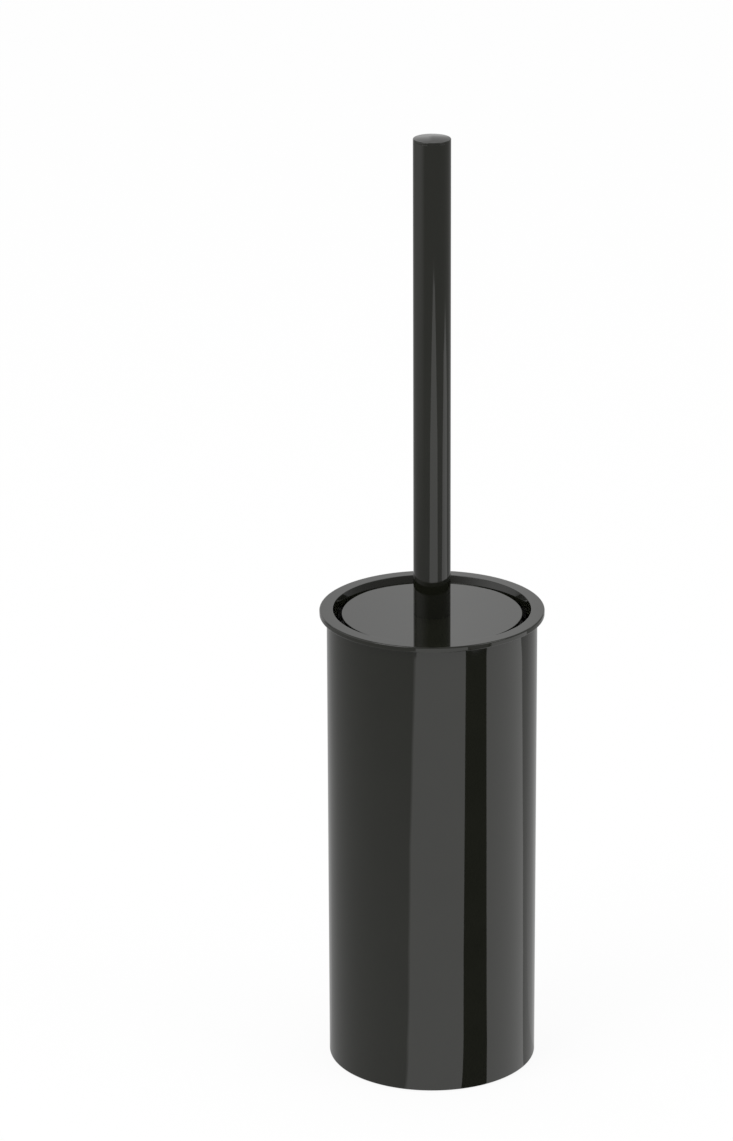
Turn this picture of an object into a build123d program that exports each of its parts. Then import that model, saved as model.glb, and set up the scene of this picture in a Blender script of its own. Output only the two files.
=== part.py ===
from build123d import *

import math
import os

# A free-standing toilet brush set: a flanged round holder, a liner that lifts out of it,
# and a brush that hangs in the liner by its lid. Millimetres, +Z up, the origin is the
# middle of the face that stands on the floor.

# Holder: tube, rim ring, base pan and foot pad
BODY_OD = 85.0
BODY_WALL = 1.5
BODY_EDGE = 0.4
HOLDER_HEIGHT = 194.7
RIM_OVERHANG = 2.9
RIM_THICKNESS = 2.3
RIM_EDGE = 0.5
RIM_LEAD_DEPTH = 3.6
RIM_LEAD_WIDTH = 1.3
SPIGOT_WALL = 2.3
SPIGOT_DEPTH = 8.0
FLOOR_REVEAL = 0.5
BASE_RECESS = 1.0
BASE_THICKNESS = 1.5
BASE_FLANGE = 8.0
BASE_BEND = 0.8
PAD_INSET = 3.0

# Liner: cup whose rim carries the lid, with a flange below that centres it in the ring
LINER_WALL = 1.6
LINER_FLOOR = 2.0
LINER_FLOOR_BEVEL = 2.5
LINER_FLANGE = 1.8
LINER_FLANGE_DROP = 4.0
LINER_CLEARANCE = 0.5
LINER_FOOT_HEIGHT = 2.0
LINER_FOOT_WIDTH = 3.0

# Lid and handle
LID_GAP = 3.55
LID_DROP = 1.9
LID_THICKNESS = 3.0
LID_TAPER = 0.8
LID_SEAT = 2.0
OVERALL_HEIGHT = 390.0
HANDLE_OD = 15.0
HANDLE_WALL = 1.0
CAP_HEAD = 0.9
CAP_CROWN = 0.35
CAP_EDGE = 0.3
CAP_SPIGOT = 12.0
INSERT_LENGTH = 26.0
INSERT_RECESS = 0.5

# Stud, washer and stem below the lid
STUD_OD = 6.0
STUD_IN_HANDLE = 18.0
STUD_IN_STEM = 15.0
STUD_CHAMFER = 0.6
STUD_HOLE_SPARE = 2.0
STUD_PASS_GAP = 0.2
WASHER_OD = 20.0
WASHER_THICKNESS = 1.5
STEM_OD = 10.0
STEM_EDGE = 0.5
STEM_SPIGOT_OD = 8.0
STEM_SPIGOT = 16.0

# Brush head: moulded core with side and tip tufts
CORE_OD = 18.0
CORE_NECK_OD = 14.0
CORE_SHOULDER = 7.0
CORE_BACKING = 1.5
TIP_BACKING = 2.5
TIP_GAP = 4.0
TIP_LENGTH = 18.0
DOME_RISE = 29.0
BRISTLE_GAP = 0.9
TUFT_WIDTH = 1.5
TUFT_ROOT = 0.9
SIDE_ROWS = 14
SIDE_ROW_PITCH = 4.6
SIDE_PER_ROW = 20
SIDE_TILT_TOP = 8.0
SIDE_TILT_BOTTOM = -34.0
TIP_CIRCLES = 3
TIP_PER_CIRCLE = 6
TIP_FIRST_R = 2.6
TIP_LEAN = 42.0

# Clearance of a piece that is pressed or screwed into another
FIT_GAP = 0.05

# Radii that several pieces share
BODY_R = BODY_OD / 2
BODY_BORE_R = BODY_R - BODY_WALL
RIM_R = BODY_R + RIM_OVERHANG
RIM_BORE_R = BODY_BORE_R - SPIGOT_WALL
RIM_MOUTH_R = RIM_BORE_R + RIM_LEAD_WIDTH
LID_R = RIM_MOUTH_R - LID_GAP
LINER_FLANGE_R = RIM_BORE_R - LINER_CLEARANCE
LINER_BORE_R = LID_R - LID_SEAT
HANDLE_R = HANDLE_OD / 2
HANDLE_BORE_R = HANDLE_R - HANDLE_WALL
STUD_R = STUD_OD / 2
STUD_HOLE_R = STUD_R + FIT_GAP
STUD_PASS_R = STUD_R + STUD_PASS_GAP
CORE_R = CORE_OD / 2
BACKING_BORE_R = CORE_R + FIT_GAP
BACKING_R = BACKING_BORE_R + CORE_BACKING

# Heights from the floor up
BASE_BOTTOM = FLOOR_REVEAL + BASE_RECESS
BASE_TOP = BASE_BOTTOM + BASE_THICKNESS
BODY_TOP = HOLDER_HEIGHT - RIM_THICKNESS
LINER_FLOOR_TOP = BASE_TOP + LINER_FOOT_HEIGHT + LINER_FLOOR
LID_TOP = HOLDER_HEIGHT - LID_DROP
LID_BOTTOM = LID_TOP - LID_THICKNESS
STEM_TOP = LID_BOTTOM - WASHER_THICKNESS
BRUSH_BOTTOM = LINER_FLOOR_TOP + TIP_GAP
CORE_BOTTOM = BRUSH_BOTTOM + TIP_LENGTH + TIP_BACKING
BACKING_TOP = CORE_BOTTOM + (SIDE_ROWS + 0.5) * SIDE_ROW_PITCH
CORE_TOP = BACKING_TOP + CORE_SHOULDER
CAP_SEAT = OVERALL_HEIGHT - CAP_CROWN - CAP_HEAD

# Outer form of the tufts: a cylinder that fits the liner, on a half ellipsoid
BRISTLE_R = LINER_BORE_R - BRISTLE_GAP
DOME_CENTRE = BRUSH_BOTTOM + DOME_RISE


def corner(r, z):
    """A corner of a turned outline, at a radius and a height."""
    return (r, z, 0)


def turned(face):
    """The solid that an outline in radius and height sweeps about Z."""
    return revolve(Plane.XZ * face, Axis.Z)


def outline(corners, bevels=()):
    """A closed outline through corners, with some of them bevelled.

    bevels holds pairs of a corner and the width that is taken off along both sides.
    """
    face = make_face(Polyline(*corners, close=True))
    for place, width in bevels:
        nearest = face.vertices().sort_by_distance(place)[0]
        face = chamfer(nearest, width)
    return face


def sleeve(inner_r, outer_r, bottom, top, bevels=()):
    """A turned ring of rectangular section."""
    corners = [
        corner(inner_r, bottom),
        corner(outer_r, bottom),
        corner(outer_r, top),
        corner(inner_r, top),
    ]
    return turned(outline(corners, bevels))


def outer_tube():
    """The body of the holder, standing just clear of the floor."""
    low_edge = corner(BODY_R, FLOOR_REVEAL)
    return sleeve(BODY_BORE_R, BODY_R, FLOOR_REVEAL, BODY_TOP, [(low_edge, BODY_EDGE)])


def rim_ring():
    """The flanged ring on the body's top edge: a spigot in the bore, a sloped mouth above it."""
    spigot_r = BODY_BORE_R - FIT_GAP
    spigot_bottom = BODY_TOP - SPIGOT_DEPTH
    top_edge = corner(RIM_R, HOLDER_HEIGHT)
    low_edge = corner(RIM_R, BODY_TOP)
    corners = [
        corner(RIM_BORE_R, spigot_bottom),
        corner(spigot_r, spigot_bottom),
        corner(spigot_r, BODY_TOP),
        low_edge,
        top_edge,
        corner(RIM_MOUTH_R, HOLDER_HEIGHT),
        corner(RIM_BORE_R, HOLDER_HEIGHT - RIM_LEAD_DEPTH),
    ]
    return turned(outline(corners, [(top_edge, RIM_EDGE), (low_edge, RIM_EDGE)]))


def base_pan():
    """The drawn bottom pressed into the body, its edge turned up over a bend of even thickness."""
    pan_r = BODY_BORE_R - FIT_GAP
    flange_bore_r = pan_r - BASE_THICKNESS
    flange_top = BASE_BOTTOM + BASE_FLANGE
    outer_width = BASE_BEND + (2 - math.sqrt(2)) * BASE_THICKNESS
    outer_bend = corner(pan_r, BASE_BOTTOM)
    inner_bend = corner(flange_bore_r, BASE_TOP)
    corners = [
        corner(0, BASE_BOTTOM),
        outer_bend,
        corner(pan_r, flange_top),
        corner(flange_bore_r, flange_top),
        inner_bend,
        corner(0, BASE_TOP),
    ]
    return turned(outline(corners, [(outer_bend, outer_width), (inner_bend, BASE_BEND)]))


def foot_pad():
    """The round non-slip pad that the holder stands on, cut from foam sheet."""
    return Cylinder(BODY_BORE_R - PAD_INSET, BASE_BOTTOM, align=(Align.CENTER, Align.CENTER, Align.MIN))


def liner():
    """The lift-out cup: a foot ring, straight walls, a flange and a rim for the lid."""
    floor_under = BASE_TOP + LINER_FOOT_HEIGHT
    flange_top = LID_BOTTOM - LINER_FLANGE_DROP
    flange_under = flange_top - LINER_FLANGE
    wall_r = LINER_BORE_R + LINER_WALL
    foot_bore_r = wall_r - LINER_FOOT_WIDTH
    floor_edge = corner(LINER_BORE_R, LINER_FLOOR_TOP)
    corners = [
        corner(0, floor_under),
        corner(foot_bore_r, floor_under),
        corner(foot_bore_r, BASE_TOP),
        corner(wall_r, BASE_TOP),
        corner(wall_r, flange_under),
        corner(LINER_FLANGE_R, flange_under),
        corner(LINER_FLANGE_R, flange_top),
        corner(wall_r, flange_top),
        corner(wall_r, LID_BOTTOM),
        corner(LINER_BORE_R, LID_BOTTOM),
        floor_edge,
        corner(0, LINER_FLOOR_TOP),
    ]
    return turned(outline(corners, [(floor_edge, LINER_FLOOR_BEVEL)]))


def lid():
    """The disc that closes the liner: its side tapers in below, and the stud passes through it."""
    corners = [
        corner(STUD_PASS_R, LID_BOTTOM),
        corner(LID_R - LID_TAPER, LID_BOTTOM),
        corner(LID_R, LID_TOP),
        corner(STUD_PASS_R, LID_TOP),
    ]
    return turned(outline(corners))


def handle_tube():
    """The straight handle, standing on the lid."""
    return sleeve(HANDLE_BORE_R, HANDLE_R, LID_TOP, CAP_SEAT)


def handle_cap():
    """The end of the handle: a low dome on a spigot that fits the tube."""
    spigot_r = HANDLE_BORE_R - FIT_GAP
    spigot_bottom = CAP_SEAT - CAP_SPIGOT
    edge_top = CAP_SEAT + CAP_HEAD
    rim_r = HANDLE_R - CAP_EDGE
    dome_r = (rim_r**2 + CAP_CROWN**2) / (2 * CAP_CROWN)
    mid_r = rim_r / 2
    mid_top = OVERALL_HEIGHT - dome_r + math.sqrt(dome_r**2 - mid_r**2)
    crown = corner(0, OVERALL_HEIGHT)
    dome_edge = corner(rim_r, edge_top)
    sides = Polyline(
        crown,
        corner(0, spigot_bottom),
        corner(spigot_r, spigot_bottom),
        corner(spigot_r, CAP_SEAT),
        corner(HANDLE_R, CAP_SEAT),
        corner(HANDLE_R, edge_top - CAP_EDGE),
        dome_edge,
    )
    return turned(make_face([sides, ThreePointArc(dome_edge, corner(mid_r, mid_top), crown)]))


def handle_insert():
    """The threaded plug in the lower end of the handle."""
    bottom = LID_TOP + INSERT_RECESS
    return sleeve(STUD_HOLE_R, HANDLE_BORE_R - FIT_GAP, bottom, bottom + INSERT_LENGTH)


def stud():
    """The stud that draws handle, lid and stem together."""
    bottom = STEM_TOP - STUD_IN_STEM
    top = LID_TOP + INSERT_RECESS + STUD_IN_HANDLE
    rod = Pos(0, 0, bottom) * Cylinder(STUD_R, top - bottom, align=(Align.CENTER, Align.CENTER, Align.MIN))
    return chamfer(rod.edges().filter_by(GeomType.CIRCLE), STUD_CHAMFER)


def lid_washer():
    """The washer between the lid and the stem."""
    return sleeve(STUD_PASS_R, WASHER_OD / 2, STEM_TOP, LID_BOTTOM)


def stem():
    """The rod below the lid: a tapped hole on top, a threaded spigot below."""
    stem_r = STEM_OD / 2
    spigot_r = STEM_SPIGOT_OD / 2
    hole_bottom = STEM_TOP - STUD_IN_STEM - STUD_HOLE_SPARE
    spigot_bottom = CORE_TOP - STEM_SPIGOT
    top_edge = corner(stem_r, STEM_TOP)
    spigot_edge = corner(spigot_r, spigot_bottom)
    corners = [
        corner(0, spigot_bottom),
        spigot_edge,
        corner(spigot_r, CORE_TOP),
        corner(stem_r, CORE_TOP),
        top_edge,
        corner(STUD_HOLE_R, STEM_TOP),
        corner(STUD_HOLE_R, hole_bottom),
        corner(0, hole_bottom),
    ]
    return turned(outline(corners, [(top_edge, STEM_EDGE), (spigot_edge, STEM_EDGE)]))


def brush_core():
    """The moulded core: a post for the tufts under a sloped shoulder with the stem's hole."""
    hole_r = STEM_SPIGOT_OD / 2 + FIT_GAP
    hole_bottom = CORE_TOP - STEM_SPIGOT - STUD_HOLE_SPARE
    corners = [
        corner(0, CORE_BOTTOM),
        corner(CORE_R, CORE_BOTTOM),
        corner(CORE_R, BACKING_TOP),
        corner(BACKING_R, BACKING_TOP),
        corner(CORE_NECK_OD / 2, CORE_TOP),
        corner(hole_r, CORE_TOP),
        corner(hole_r, hole_bottom),
        corner(0, hole_bottom),
    ]
    return turned(outline(corners))


def tuft_length(root_r, root_z, slope):
    """Length of a tuft from its root to the brush's outer form.

    The form is a cylinder on a half ellipsoid. slope is the tuft's angle above level, in degrees.
    """
    out = math.cos(math.radians(slope))
    up = math.sin(math.radians(slope))
    if out > 0:
        to_side = (BRISTLE_R - root_r) / out
        if root_z + to_side * up >= DOME_CENTRE:
            return to_side
    height = root_z - DOME_CENTRE
    a = (out / BRISTLE_R) ** 2 + (up / DOME_RISE) ** 2
    b = root_r * out / BRISTLE_R**2 + height * up / DOME_RISE**2
    c = (root_r / BRISTLE_R) ** 2 + (height / DOME_RISE) ** 2 - 1
    return (math.sqrt(b**2 - a * c) - b) / a


def tuft(root_r, root_z, slope, turn):
    """One three-sided tuft, sunk by TUFT_ROOT into the backing it grows from."""
    length = tuft_length(root_r, root_z, slope) + TUFT_ROOT
    strand = extrude(RegularPolygon(TUFT_WIDTH / math.sqrt(3), 3), length)
    laid = Rot(0, 90 - slope, 0) * Pos(0, 0, -TUFT_ROOT) * strand
    return Rot(0, 0, turn) * Pos(root_r, 0, root_z) * laid


def tuft_backing(bottom, height):
    """The layer that tufts grow from, with two flats for each tuft of a row."""
    flats = RegularPolygon(BACKING_R, 2 * SIDE_PER_ROW, major_radius=False)
    half_flat = 90 / SIDE_PER_ROW
    return Pos(0, 0, bottom) * Rot(0, 0, half_flat) * extrude(flats, height)


def side_bristles():
    """Rows of tufts round the core, each row set half a step on, fanned out towards both ends."""
    height = BACKING_TOP - CORE_BOTTOM
    bore = Cylinder(BACKING_BORE_R, height, align=(Align.CENTER, Align.CENTER, Align.MIN))
    backing = tuft_backing(CORE_BOTTOM, height) - Pos(0, 0, CORE_BOTTOM) * bore
    step = 360 / SIDE_PER_ROW
    tufts = []
    for row in range(SIDE_ROWS):
        share = row / (SIDE_ROWS - 1)
        slope = SIDE_TILT_BOTTOM + (SIDE_TILT_TOP - SIDE_TILT_BOTTOM) * share
        root_z = CORE_BOTTOM + (row + 0.75) * SIDE_ROW_PITCH
        first = step / 2 * (row % 2)
        for place in range(SIDE_PER_ROW):
            tufts.append(tuft(BACKING_R, root_z, slope, first + place * step))
    return backing.fuse(*tufts)


def tip_bristles():
    """Circles of tufts under the core, leaning out towards the edge."""
    bottom = CORE_BOTTOM - TIP_BACKING
    backing = tuft_backing(bottom, TIP_BACKING)
    last_r = BACKING_R - TUFT_WIDTH
    tufts = []
    for circle in range(TIP_CIRCLES):
        circle_r = TIP_FIRST_R + (last_r - TIP_FIRST_R) * circle / (TIP_CIRCLES - 1)
        count = TIP_PER_CIRCLE * (circle + 1)
        slope = TIP_LEAN * (circle + 1) / TIP_CIRCLES - 90
        for place in range(count):
            tufts.append(tuft(circle_r, bottom, slope, place * 360 / count))
    return backing.fuse(*tufts)


PIECES = (
    outer_tube,
    rim_ring,
    base_pan,
    foot_pad,
    liner,
    lid,
    handle_tube,
    handle_cap,
    handle_insert,
    stud,
    lid_washer,
    stem,
    brush_core,
    side_bristles,
    tip_bristles,
)

os.makedirs("parts", exist_ok=True)
for piece in PIECES:
    export_step(piece(), os.path.join("parts", piece.__name__ + ".step"))
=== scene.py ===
import logging
import math
from dataclasses import dataclass, field
from enum import Enum
from functools import partial
from typing import Any, Mapping, Sequence

import bmesh
import bpy
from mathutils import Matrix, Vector


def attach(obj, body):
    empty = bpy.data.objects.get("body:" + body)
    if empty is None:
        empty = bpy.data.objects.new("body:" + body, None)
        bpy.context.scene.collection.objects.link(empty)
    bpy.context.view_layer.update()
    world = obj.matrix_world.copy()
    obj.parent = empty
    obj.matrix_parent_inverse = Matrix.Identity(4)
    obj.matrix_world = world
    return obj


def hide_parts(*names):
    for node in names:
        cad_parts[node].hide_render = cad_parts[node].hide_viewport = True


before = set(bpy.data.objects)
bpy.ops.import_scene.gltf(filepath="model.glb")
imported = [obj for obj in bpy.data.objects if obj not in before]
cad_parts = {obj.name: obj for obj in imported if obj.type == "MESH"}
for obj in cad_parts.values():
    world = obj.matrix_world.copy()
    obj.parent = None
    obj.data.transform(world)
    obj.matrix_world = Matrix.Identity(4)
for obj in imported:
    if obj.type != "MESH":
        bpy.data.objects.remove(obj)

LOG = logging.getLogger("brush_set")
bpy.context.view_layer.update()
MM = 0.001
TINY = 1e-6
FINE_STEPS = 320
SMALL_STEPS = 128
ARC_STEPS = 6
ARC_SUPPORT = 0.03
ARC_TURN = 10
SHARP_ANGLE = math.radians(30)
BANDS_PER_UNIT = 20 / math.tau
WHITE = (1.0, 1.0, 1.0, 1.0)
ROOT_VALUES = {"root": "BOOLEAN", "lean": "FLOAT_VECTOR", "reach": "FLOAT"}
SOCKET_KINDS = {int: "NodeSocketInt", float: "NodeSocketFloat", bpy.types.Material: "NodeSocketMaterial"}
SHEET_UP = 0.0002
BACK_UP = 0.0003
PANEL_UP = 0.0004
BODY_EDGE = 0.0426
SHEET_END = 6.0
BACK_END = 2.4


class Body(Enum):
    """The three bodies that move apart."""

    HOLDER = "holder"
    LINER = "liner"
    BRUSH = "brush"


class Slot(Enum):
    """The finishes that the pieces take, by their slots' names."""

    LACQUER = "black_lacquer"
    ZINC = "zinc_steel"
    STAINLESS = "stainless_steel"
    FOAM = "foot_foam"
    LINER = "liner_plastic"
    WASHER = "washer_nylon"
    CORE = "core_plastic"
    BRISTLE = "bristle_nylon"


class Texture(Enum):
    """The node that draws a pattern, and the output that carries it."""

    NOISE = ("ShaderNodeTexNoise", "Fac")
    CELLS = ("ShaderNodeTexVoronoi", "Distance")
    BANDS = ("ShaderNodeTexWave", "Fac")
    STRANDS = ("ShaderNodeNewGeometry", "Random Per Island")


def linear(code: str) -> tuple[float, float, float, float]:
    """Turns an sRGB hex colour to linear light.

    Args:
        code: six hex digits after a hash sign.
    Returns:
        red, green, blue and an alpha of 1.
    """
    shares = [int(code[start:start + 2], 16) / 255 for start in (1, 3, 5)]
    light = [s / 12.92 if s <= 0.04045 else ((s + 0.055) / 1.055) ** 2.4 for s in shares]
    return (light[0], light[1], light[2], 1.0)


def scale_for(size_mm: float) -> float:
    """The texture scale that draws a pattern of that size on coordinates in metres."""
    return 1000 / size_mm


def link(thing: bpy.types.Object) -> None:
    """Puts an object into the scene."""
    bpy.context.scene.collection.objects.link(thing)


def bare_tree(owner: bpy.types.Material | bpy.types.World) -> bpy.types.NodeTree:
    """Empties the nodes of a new material or world.

    Args:
        owner: the material or world.
    Returns:
        its node tree.
    """
    owner.use_nodes = True
    owner.node_tree.nodes.clear()
    return owner.node_tree


def add_node(
    tree: bpy.types.NodeTree,
    kind: str,
    inputs: Mapping[str | int, Any] | None = None,
    **settings: Any,
) -> bpy.types.Node:
    """Adds a node, sets its options and fills or links its inputs.

    Args:
        tree: the node tree that gets the node.
        kind: Blender's name of the node type.
        inputs: values, output sockets, or nodes for their first output in use, by the input's name or number.
        settings: options of the node, such as operation.
    Returns:
        the new node.
    """
    node = tree.nodes.new(kind)
    for option, value in settings.items():
        setattr(node, option, value)
    for key, value in (inputs or {}).items():
        if isinstance(value, bpy.types.Node):
            value = next(output for output in value.outputs if output.enabled)
        if isinstance(value, bpy.types.NodeSocket):
            tree.links.new(value, node.inputs[key])
        else:
            node.inputs[key].default_value = value
    return node


# Finishes

@dataclass(frozen=True)
class Pattern:
    """A texture of a real size, and what it gives the surface: relief, uneven gloss or two shades."""

    texture: Texture
    size_mm: float = 0.0
    inputs: Mapping[str, float] = field(default_factory=dict)
    options: Mapping[str, str] = field(default_factory=dict)
    relief_mm: float = 0.0
    strength: float = 1.0
    span: tuple[float, float] = (0.3, 0.7)
    gloss: tuple[float, float] | None = None
    shades: tuple[str, str] | None = None


@dataclass(frozen=True)
class Finish:
    """A real material and how its surface was made."""

    name: str
    colour: str
    roughness: float
    ior: float = 1.5
    metallic: float = 0.0

    def patterns(self) -> list[Pattern]:
        """Lists what the surface shows besides its plain colour and gloss."""
        raise NotImplementedError

    def make(self) -> bpy.types.Material:
        """Builds the material, with each of its patterns on object coordinates.

        Returns:
            a node material named for the finish.
        """
        material = bpy.data.materials.new(self.name)
        tree = bare_tree(material)
        constants = {
            "Base Color": linear(self.colour),
            "Roughness": self.roughness,
            "IOR": self.ior,
            "Metallic": self.metallic,
        }
        shader = add_node(tree, "ShaderNodeBsdfPrincipled", constants)
        add_node(tree, "ShaderNodeOutputMaterial", {"Surface": shader})
        place = add_node(tree, "ShaderNodeTexCoord").outputs["Object"]
        for pattern in self.patterns():
            kind, output = pattern.texture.value
            spread = {"Vector": place, "Scale": scale_for(pattern.size_mm)} if pattern.size_mm else {}
            value = add_node(tree, kind, {**spread, **pattern.inputs}, **pattern.options).outputs[output]
            if pattern.relief_mm:
                relief = add_node(tree, "ShaderNodeBump", {
                    "Strength": pattern.strength, "Distance": pattern.relief_mm * MM, "Height": value,
                })
                tree.links.new(relief.outputs["Normal"], shader.inputs["Normal"])
            if pattern.gloss:
                gloss = add_node(tree, "ShaderNodeMapRange", {
                    "Value": value,
                    "From Min": pattern.span[0],
                    "From Max": pattern.span[1],
                    "To Min": self.roughness + pattern.gloss[0],
                    "To Max": self.roughness + pattern.gloss[1],
                })
                tree.links.new(gloss.outputs["Result"], shader.inputs["Roughness"])
            if pattern.shades:
                shade = add_node(tree, "ShaderNodeMix", {
                    "Factor": value, "A": linear(pattern.shades[0]), "B": linear(pattern.shades[1]),
                }, data_type="RGBA")
                tree.links.new(shade.outputs["Result"], shader.inputs["Base Color"])
        return material


@dataclass(frozen=True)
class GlossLacquer(Finish):
    """Sprayed and baked gloss lacquer: a mirror with the faint waviness of the flow of the coat."""

    flow_mm: float = 2.4
    flow_height_mm: float = 0.0012
    haze_mm: float = 18.0
    haze: float = 0.015
    deeper: str = "#13140e"

    def patterns(self) -> list[Pattern]:
        """The flow of the coat, and a haze in its gloss with a slight change of depth.

        Returns:
            both patterns.
        """
        flow = Pattern(Texture.NOISE, self.flow_mm, {"Detail": 1.0}, relief_mm=self.flow_height_mm)
        cloud = Pattern(
            Texture.NOISE, self.haze_mm, {"Detail": 4.0, "Roughness": 0.6},
            span=(0.35, 0.65), gloss=(-self.haze, self.haze), shades=(self.deeper, self.colour),
        )
        return [flow, cloud]


@dataclass(frozen=True)
class MouldedPlastic(Finish):
    """Injection-moulded plastic: a satin skin with the fine pits of a spark-eroded mould."""

    grain_mm: float = 0.9
    grain_height_mm: float = 0.03
    cloud_mm: float = 25.0
    uneven: float = 0.06
    worn: str = "#2c2c2b"

    def patterns(self) -> list[Pattern]:
        """The mould's grain, drawn about three times too coarse so that it shows, and soft clouds.

        Returns:
            both patterns.
        """
        grain = Pattern(
            Texture.NOISE, self.grain_mm, {"Detail": 3.0, "Roughness": 0.65},
            relief_mm=self.grain_height_mm, strength=0.6,
        )
        cloud = Pattern(
            Texture.NOISE, self.cloud_mm, {"Detail": 3.0},
            gloss=(-self.uneven, self.uneven), shades=(self.colour, self.worn),
        )
        return [grain, cloud]


@dataclass(frozen=True)
class DrawnFilament(Finish):
    """Drawn nylon filament: each strand is smooth, and no two catch the light alike."""

    pale: str = "#3a3a38"
    draw_mm: float = 3.0
    uneven: float = 0.08

    def patterns(self) -> list[Pattern]:
        """Each strand's own shade, and a gloss that changes along it.

        Returns:
            both patterns.
        """
        strand = Pattern(Texture.STRANDS, shades=(self.colour, self.pale))
        along = Pattern(Texture.NOISE, self.draw_mm, {"Detail": 2.0}, gloss=(-self.uneven, self.uneven))
        return [strand, along]


@dataclass(frozen=True)
class TurnedSteel(Finish):
    """Stainless bar turned on a lathe: fine rings round the bar, which stretch highlights along it."""

    ring_mm: float = 2.0
    ring_height_mm: float = 0.004
    waver_mm: float = 6.0
    uneven: float = 0.05

    def patterns(self) -> list[Pattern]:
        """The tool's rings, drawn about twenty times too coarse so that they show, and an uneven gloss.

        Returns:
            both patterns.
        """
        rings = Pattern(
            Texture.BANDS, self.ring_mm * BANDS_PER_UNIT,
            {"Distortion": 0.4, "Detail": 2.0, "Detail Scale": 2.0}, {"bands_direction": "Z"},
            relief_mm=self.ring_height_mm, strength=0.5,
        )
        waver = Pattern(Texture.NOISE, self.waver_mm, {"Detail": 3.0}, gloss=(-self.uneven, self.uneven))
        return [rings, waver]


@dataclass(frozen=True)
class PlatedSteel(Finish):
    """Drawn steel with a passivated zinc plate: a grey metal skin of fine crystals with dull clouds."""

    crystal_mm: float = 1.2
    cloud_mm: float = 14.0
    dull: str = "#8f9296"

    def patterns(self) -> list[Pattern]:
        """Crystals in the gloss and clouds in the colour.

        Returns:
            both patterns.
        """
        crystal = Pattern(Texture.CELLS, self.crystal_mm, span=(0.0, 0.8), gloss=(-0.06, 0.1))
        cloud = Pattern(Texture.NOISE, self.cloud_mm, {"Detail": 4.0}, shades=(self.colour, self.dull))
        return [crystal, cloud]


@dataclass(frozen=True)
class FoamSheet(Finish):
    """Closed-cell foam cut from sheet: matt, with small open cells, and shade painted darker into their
    hollows.
    """

    cell_mm: float = 0.8
    cell_depth_mm: float = 0.12
    # The paler colour of the cell rims; the hollows keep the darker colour as painted shade
    pale: str = "#3b3b3a"

    def patterns(self) -> list[Pattern]:
        """The open cells, with painted shade darker in their hollows.

        Returns:
            their pattern.
        """
        # Painted shade: each cell's hollow takes the darker colour, and its rim the paler one
        cells = Pattern(
            Texture.CELLS, self.cell_mm,
            relief_mm=self.cell_depth_mm, strength=0.8, shades=(self.colour, self.pale),
        )
        return [cells]


SET_FINISHES: dict[Slot, Finish] = {
    # A deep black mirror, a little warm
    Slot.LACQUER: GlossLacquer("baked_gloss_lacquer", "#191a14", 0.04, ior=1.6),
    # A dull black skin
    Slot.LINER: MouldedPlastic("moulded_polypropylene_liner", "#0d0d0d", 0.5, worn="#171716"),
    # A dark grey with a satin shine
    Slot.CORE: MouldedPlastic("moulded_polypropylene_core", "#232322", 0.36, grain_mm=0.7),
    # Dark strands that glint one by one
    Slot.BRISTLE: DrawnFilament("drawn_nylon_filament", "#161615", 0.34, ior=1.53),
    # Pale metal with long highlights
    Slot.STAINLESS: TurnedSteel("turned_stainless_steel", "#c9c8c4", 0.24, metallic=1.0),
    # Grey metal, brighter and duller in patches
    Slot.ZINC: PlatedSteel("zinc_plated_steel", "#b4b7ba", 0.38, metallic=1.0),
    # A milky white
    Slot.WASHER: MouldedPlastic(
        "moulded_natural_nylon", "#ddd7c6", 0.4, ior=1.53, grain_height_mm=0.01, worn="#d0c9b6",
    ),
    # A matt dark grey, with painted shade in the hollows of its cells
    Slot.FOAM: FoamSheet("closed_cell_foam_sheet", "#202020", 0.9),
}


# Turned meshes

@dataclass(frozen=True)
class Corner:
    """A corner of a turned outline in millimetres, rounded where radius is set."""

    r: float
    z: float
    radius: float = 0.0


def outline(corners: Sequence[Corner]) -> list[Vector]:
    """Turns corners into a closed line of points, with an arc at each rounded corner.

    Args:
        corners: the outline's corners, anticlockwise with r to the right and z up.
    Returns:
        points in radius and height, in millimetres.
    """
    points: list[Vector] = []
    for index, here in enumerate(corners):
        middle = Vector((here.r, here.z))
        before = corners[index - 1]
        after = corners[(index + 1) % len(corners)]
        if not here.radius:
            points.append(middle)
            continue
        back = (Vector((before.r, before.z)) - middle).normalized()
        on = (Vector((after.r, after.z)) - middle).normalized()
        half = back.angle(on) / 2
        sweep = math.pi - 2 * half
        run = here.radius / math.tan(half)
        centre = middle + (back + on).normalized() * here.radius / math.sin(half)
        start = middle + back * run - centre
        end = middle + on * run - centre
        points.append(middle + back * (run + ARC_SUPPORT))
        for step in range(ARC_STEPS + 1):
            turn = sweep * (step / ARC_STEPS)
            weight_start = math.sin(sweep - turn) / math.sin(sweep)
            weight_end = math.sin(turn) / math.sin(sweep)
            points.append(centre + start * weight_start + end * weight_end)
        points.append(middle + on * (run + ARC_SUPPORT))
    return points


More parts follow.
